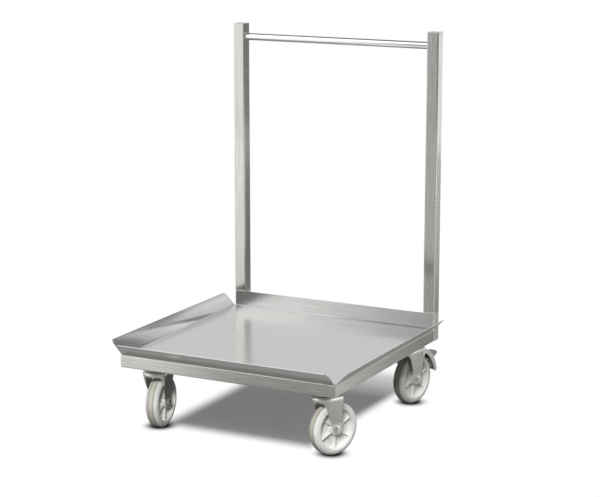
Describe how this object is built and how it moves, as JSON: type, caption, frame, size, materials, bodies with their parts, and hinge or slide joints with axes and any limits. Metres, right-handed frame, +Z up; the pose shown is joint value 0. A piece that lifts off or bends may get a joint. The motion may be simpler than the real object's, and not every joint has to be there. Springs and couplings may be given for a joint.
{
  "type": "dish rack cart",
  "caption": "Low stainless steel cart for a stack of square dishwasher racks: rimmed tray on a box tube frame, two tall posts with a push bar, and swivel casters.",
  "frame": {"origin": "on the floor, under the middle of the frame", "axes": "+X is the cart's right as it is pushed, +Y its back where the posts and push bar stand, +Z up"},
  "size_m": [0.6208, 0.66, 0.92],
  "materials": {
    "stainless_tube": "brushed along the tube, satin",
    "stainless_sheet": "fine brushed sheet, satin",
    "polished_tube": "polished stainless steel",
    "zinc_plate": "zinc plated pressed steel, matt",
    "fasteners": "bright zinc plated",
    "wheel_plastic": "moulded, slightly satin",
    "brake_rubber": "matt black"
  },
  "bodies": {
    "cart_frame": {"front_rail": "stainless_tube", "rear_rail": "stainless_tube", "left_rail": "stainless_tube", "right_rail": "stainless_tube", "left_post": "stainless_tube", "right_post": "stainless_tube", "left_top_cap": "stainless_tube", "right_top_cap": "stainless_tube", "left_foot_plate": "stainless_tube", "right_foot_plate": "stainless_tube", "push_bar": "polished_tube", "tray": "stainless_sheet", "front_left_corner_plate": "stainless_tube", "front_right_corner_plate": "stainless_tube", "rear_left_corner_plate": "stainless_tube", "rear_right_corner_plate": "stainless_tube", "caster_mounting_bolts": "fasteners", "caster_mounting_washers": "fasteners", "caster_mounting_nuts": "fasteners", "front_left_swivel_head": "zinc_plate", "front_right_swivel_head": "zinc_plate", "rear_left_swivel_head": "zinc_plate", "rear_right_swivel_head": "zinc_plate", "front_left_swivel_rivet": "zinc_plate", "front_right_swivel_rivet": "zinc_plate", "rear_left_swivel_rivet": "zinc_plate", "rear_right_swivel_rivet": "zinc_plate"},
    "front_left_swivel": {"front_left_fork": "zinc_plate", "front_left_race_balls": "fasteners", "front_left_axle_sleeve": "fasteners", "front_left_axle_bolt": "fasteners", "front_left_axle_nut": "fasteners"},
    "front_left_roller": {"front_left_wheel": "wheel_plastic"},
    "front_right_swivel": {"front_right_fork": "zinc_plate", "front_right_race_balls": "fasteners", "front_right_axle_sleeve": "fasteners", "front_right_axle_bolt": "fasteners", "front_right_axle_nut": "fasteners"},
    "front_right_roller": {"front_right_wheel": "wheel_plastic"},
    "rear_left_swivel": {"rear_left_fork": "zinc_plate", "rear_left_race_balls": "fasteners", "rear_left_axle_sleeve": "fasteners", "rear_left_axle_bolt": "fasteners", "rear_left_axle_nut": "fasteners", "rear_left_brake_pin": "zinc_plate"},
    "rear_left_roller": {"rear_left_wheel": "wheel_plastic"},
    "rear_left_pedal": {"rear_left_brake_pedal": "zinc_plate", "rear_left_brake_shoe": "brake_rubber"},
    "rear_right_swivel": {"rear_right_fork": "zinc_plate", "rear_right_race_balls": "fasteners", "rear_right_axle_sleeve": "fasteners", "rear_right_axle_bolt": "fasteners", "rear_right_axle_nut": "fasteners", "rear_right_brake_pin": "zinc_plate"},
    "rear_right_roller": {"rear_right_wheel": "wheel_plastic"},
    "rear_right_pedal": {"rear_right_brake_pedal": "zinc_plate", "rear_right_brake_shoe": "brake_rubber"}
  },
  "joints": [
    {"name": "front_left_swivel_turn", "type": "hinge", "parent": "cart_frame", "child": "front_left_swivel", "pos_m": [-0.222, -0.226, 0.15], "axis": [0, 0, 1], "continuous": true},
    {"name": "front_left_wheel_spin", "type": "hinge", "parent": "front_left_swivel", "child": "front_left_roller", "pos_m": [-0.22493, -0.20218, 0.0625], "axis": [-0.9925, -0.1219, 0], "continuous": true},
    {"name": "front_right_swivel_turn", "type": "hinge", "parent": "cart_frame", "child": "front_right_swivel", "pos_m": [0.222, -0.226, 0.15], "axis": [0, 0, 1], "continuous": true},
    {"name": "front_right_wheel_spin", "type": "hinge", "parent": "front_right_swivel", "child": "front_right_roller", "pos_m": [0.23214, -0.20425, 0.0625], "axis": [-0.9063, 0.4226, 0], "continuous": true},
    {"name": "rear_left_swivel_turn", "type": "hinge", "parent": "cart_frame", "child": "rear_left_swivel", "pos_m": [-0.222, 0.226, 0.15], "axis": [0, 0, 1], "continuous": true},
    {"name": "rear_left_wheel_spin", "type": "hinge", "parent": "rear_left_swivel", "child": "rear_left_roller", "pos_m": [-0.22116, 0.24999, 0.0625], "axis": [-0.9994, 0.0349, 0], "continuous": true},
    {"name": "rear_left_brake_press", "type": "hinge", "parent": "rear_left_swivel", "child": "rear_left_pedal", "pos_m": [-0.22104, 0.25365, 0.1324], "axis": [-0.9994, 0.0349, 0], "range_deg": [0, 6]},
    {"name": "rear_right_swivel_turn", "type": "hinge", "parent": "cart_frame", "child": "rear_right_swivel", "pos_m": [0.222, 0.226, 0.15], "axis": [0, 0, 1], "continuous": true},
    {"name": "rear_right_wheel_spin", "type": "hinge", "parent": "rear_right_swivel", "child": "rear_right_roller", "pos_m": [0.2274, 0.24938, 0.0625], "axis": [-0.9744, 0.225, 0], "continuous": true},
    {"name": "rear_right_brake_press", "type": "hinge", "parent": "rear_right_swivel", "child": "rear_right_pedal", "pos_m": [0.22822, 0.25295, 0.1324], "axis": [-0.9744, 0.225, 0], "range_deg": [0, 6]}
  ]
}
